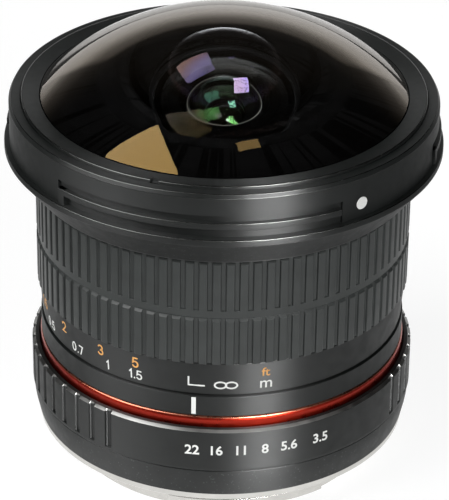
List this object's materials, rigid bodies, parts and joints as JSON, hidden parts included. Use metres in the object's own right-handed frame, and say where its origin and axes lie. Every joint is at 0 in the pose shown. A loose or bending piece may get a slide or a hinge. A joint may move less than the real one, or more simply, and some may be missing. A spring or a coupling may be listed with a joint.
{
  "type": "fisheye lens",
  "caption": "Manual fisheye lens with a domed front glass, hood rails, ribbed focus grip, numbered aperture ring, working iris and bayonet mount.",
  "frame": {"origin": "centre of the mount flange face, on the optical axis", "axes": "+Z forwards along the optical axis, towards the scene; -Y towards the index line's side, about 8 degrees from it; +X to the right seen from that side"},
  "size_m": [0.075, 0.075, 0.0793],
  "materials": {
    "black_metal": "satin",
    "inner_metal": "matte",
    "red_metal": "satin",
    "mount_metal": "satin",
    "steel": "satin",
    "blade_steel": "satin",
    "rubber": "matte",
    "baffle_plastic": "matte",
    "coated_glass": "polished"
  },
  "bodies": {
    "barrel": {"main_barrel": "inner_metal", "front_flange": "black_metal", "front_bezel": "black_metal", "front_element": "coated_glass", "index_barrel": "black_metal", "red_ring": "red_metal", "rear_barrel": "black_metal", "click_ball": "steel", "mount_plate": "mount_metal", "mount_screws": "steel", "rear_baffle": "baffle_plastic", "iris_base": "inner_metal", "iris_cover": "inner_metal", "rear_cell": "inner_metal", "sixth_element": "coated_glass", "seventh_element": "coated_glass", "eighth_element": "coated_glass", "ninth_element": "coated_glass", "tenth_element": "coated_glass", "front_spacer": "inner_metal", "rear_spacer": "inner_metal", "rear_ring": "inner_metal"},
    "focus_ring_unit": {"focus_ring": "black_metal", "focus_grip": "rubber", "focus_cam": "inner_metal", "tie_screws": "steel"},
    "middle_group": {"focus_carrier": "inner_metal", "cam_followers": "steel", "second_element": "coated_glass", "second_ring": "inner_metal", "third_element": "coated_glass", "third_ring": "inner_metal", "fourth_element": "coated_glass", "fifth_element": "coated_glass", "fifth_ring": "inner_metal"},
    "aperture_ring_unit": {"aperture_ring": "black_metal", "aperture_lever": "inner_metal", "iris_drive_ring": "inner_metal"},
    "blade_1": {"iris_blade_1": "blade_steel"},
    "blade_2": {"iris_blade_2": "blade_steel"},
    "blade_3": {"iris_blade_3": "blade_steel"},
    "blade_4": {"iris_blade_4": "blade_steel"},
    "blade_5": {"iris_blade_5": "blade_steel"},
    "blade_6": {"iris_blade_6": "blade_steel"}
  },
  "joints": [
    {"name": "focus_turn", "type": "hinge", "parent": "barrel", "child": "focus_ring_unit", "pos_m": [0, 0, 0.033], "axis": [0, 0, 1], "range_deg": [0, 103]},
    {"name": "focus_slide", "type": "slide", "parent": "barrel", "child": "middle_group", "axis": [0, 0, 1], "range_m": [0, 0.0015]},
    {"name": "aperture_turn", "type": "hinge", "parent": "barrel", "child": "aperture_ring_unit", "pos_m": [0, 0, 0.0105], "axis": [0, 0, 1], "range_deg": [-38.6, 0]},
    {"name": "blade_1_swing", "type": "hinge", "parent": "barrel", "child": "blade_1", "pos_m": [0.01198, 0.00321, 0.0232], "axis": [0, 0, 1], "range_deg": [-26.1, 0]},
    {"name": "blade_2_swing", "type": "hinge", "parent": "barrel", "child": "blade_2", "pos_m": [0.00321, 0.01198, 0.0232], "axis": [0, 0, 1], "range_deg": [-26.1, 0]},
    {"name": "blade_3_swing", "type": "hinge", "parent": "barrel", "child": "blade_3", "pos_m": [-0.00877, 0.00877, 0.0232], "axis": [0, 0, 1], "range_deg": [-26.1, 0]},
    {"name": "blade_4_swing", "type": "hinge", "parent": "barrel", "child": "blade_4", "pos_m": [-0.01198, -0.00321, 0.0232], "axis": [0, 0, 1], "range_deg": [-26.1, 0]},
    {"name": "blade_5_swing", "type": "hinge", "parent": "barrel", "child": "blade_5", "pos_m": [-0.00321, -0.01198, 0.0232], "axis": [0, 0, 1], "range_deg": [-26.1, 0]},
    {"name": "blade_6_swing", "type": "hinge", "parent": "barrel", "child": "blade_6", "pos_m": [0.00877, -0.00877, 0.0232], "axis": [0, 0, 1], "range_deg": [-26.1, 0]}
  ],
  "couplings": [
    {"joint": "focus_slide", "follows": "focus_turn", "m_per_rad": 0.0008344},
    {"joint": "blade_1_swing", "follows": "aperture_turn", "ratio": 0.6759},
    {"joint": "blade_2_swing", "follows": "aperture_turn", "ratio": 0.6759},
    {"joint": "blade_3_swing", "follows": "aperture_turn", "ratio": 0.6759},
    {"joint": "blade_4_swing", "follows": "aperture_turn", "ratio": 0.6759},
    {"joint": "blade_5_swing", "follows": "aperture_turn", "ratio": 0.6759},
    {"joint": "blade_6_swing", "follows": "aperture_turn", "ratio": 0.6759}
  ]
}
